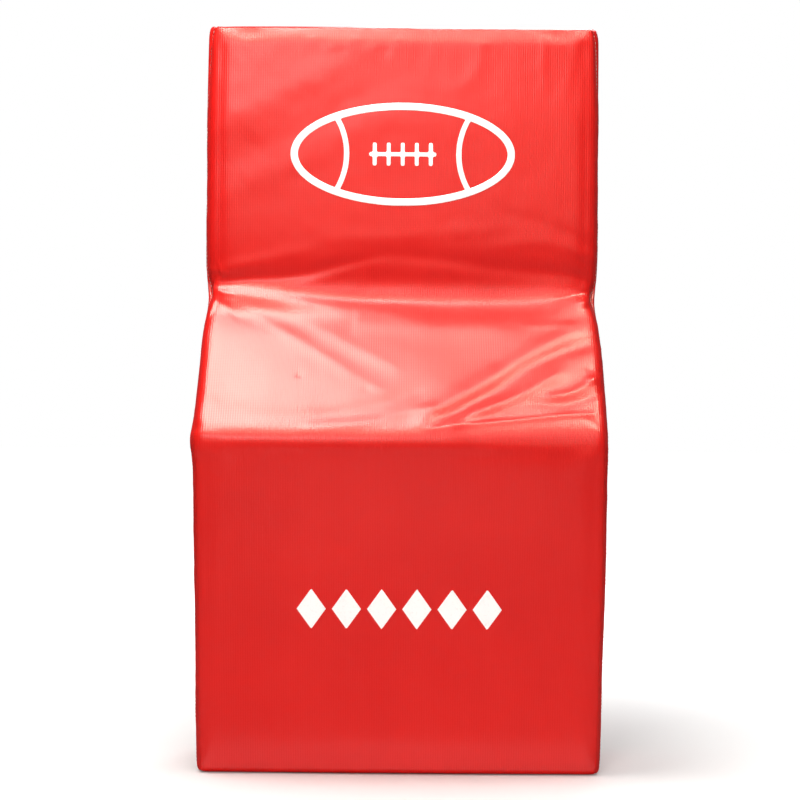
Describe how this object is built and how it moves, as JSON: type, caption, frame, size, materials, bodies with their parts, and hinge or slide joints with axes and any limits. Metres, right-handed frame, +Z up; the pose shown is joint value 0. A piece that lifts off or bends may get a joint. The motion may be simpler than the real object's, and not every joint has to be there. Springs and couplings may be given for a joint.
{
  "type": "step tackle shield",
  "caption": "Free-standing foam tackle shield with a stepped, ridged face in a red sewn vinyl cover, with padded forearm loops, a carry handle and a zip on its flat back.",
  "frame": {"origin": "centre of the base's underside, on the floor, midway between the sides and between the base's front edge and the back", "axes": "+Z up, +Y towards the flat back where the holder stands, -Y towards the stepped face, +X to the right seen from the face"},
  "size_m": [0.4816, 0.334, 0.9],
  "materials": {
    "red_vinyl": "semi-gloss PVC-coated polyester with a fine scrim texture",
    "white_print": "flat white transfer film",
    "foam": "open-cell polyurethane foam",
    "soft_foam": "soft open-cell polyurethane foam",
    "dense_foam": "closed-cell polyethylene foam",
    "webbing": "woven polypropylene webbing",
    "sleeve_fabric": "brushed knit laminated to foam",
    "grip_rubber": "soft ribbed rubber",
    "zip_tape": "woven polyester zip tape",
    "zip_teeth": "moulded acetal",
    "zip_metal": "nickel-plated zinc",
    "eyelet_metal": "nickel-plated brass"
  },
  "bodies": {
    "shield": {"back_foam_layer": "dense_foam", "main_foam_slab": "foam", "wedge_foam_block": "foam", "upper_face_foam": "soft_foam", "slope_face_foam": "soft_foam", "lower_face_foam": "soft_foam", "front_panel": "red_vinyl", "side_gusset_left": "red_vinyl", "side_gusset_right": "red_vinyl", "top_gusset": "red_vinyl", "base_gusset": "red_vinyl", "back_panel_upper": "red_vinyl", "back_panel_lower": "red_vinyl", "upper_print": "white_print", "lower_print": "white_print", "vent_eyelets": "eyelet_metal", "vent_washers": "eyelet_metal", "zip_tape_upper": "zip_tape", "zip_tape_lower": "zip_tape", "zip_teeth_upper": "zip_teeth", "zip_teeth_lower": "zip_teeth", "zip_end_stops": "zip_teeth", "zip_end_patches": "red_vinyl", "arm_strap_patches": "red_vinyl", "arm_strap_left_anchors": "webbing", "arm_strap_right_anchors": "webbing", "carry_handle_patches": "red_vinyl", "carry_handle_anchors": "webbing"},
    "arm_strap_left": {"arm_strap_left_webbing": "webbing", "arm_strap_left_sleeve": "sleeve_fabric", "arm_strap_left_pad": "soft_foam"},
    "arm_strap_right": {"arm_strap_right_webbing": "webbing", "arm_strap_right_sleeve": "sleeve_fabric", "arm_strap_right_pad": "soft_foam"},
    "carry_handle": {"carry_handle_webbing": "webbing", "carry_handle_grip": "grip_rubber"},
    "zip_slider": {"zip_slider": "zip_metal"},
    "zip_pull": {"zip_pull": "zip_metal"}
  },
  "joints": [
    {"name": "arm_strap_left_swing", "type": "hinge", "parent": "shield", "child": "arm_strap_left", "pos_m": [-0.115, 0.1094, 0.5], "axis": [0, 0, 1], "range_deg": [-40, 40]},
    {"name": "arm_strap_right_swing", "type": "hinge", "parent": "shield", "child": "arm_strap_right", "pos_m": [0.115, 0.1094, 0.5], "axis": [0, 0, 1], "range_deg": [-40, 40]},
    {"name": "carry_handle_swing", "type": "hinge", "parent": "shield", "child": "carry_handle", "pos_m": [0, 0.10718, 0.83], "axis": [1, 0, 0], "range_deg": [-45, 45]},
    {"name": "zip_slide", "type": "slide", "parent": "shield", "child": "zip_slider", "axis": [1, 0, 0], "range_m": [-0.408, 0]},
    {"name": "zip_pull_swing", "type": "hinge", "parent": "zip_slider", "child": "zip_pull", "pos_m": [0.204, 0.0931, 0.08], "axis": [0, 0, -1], "range_deg": [0, 165]}
  ]
}
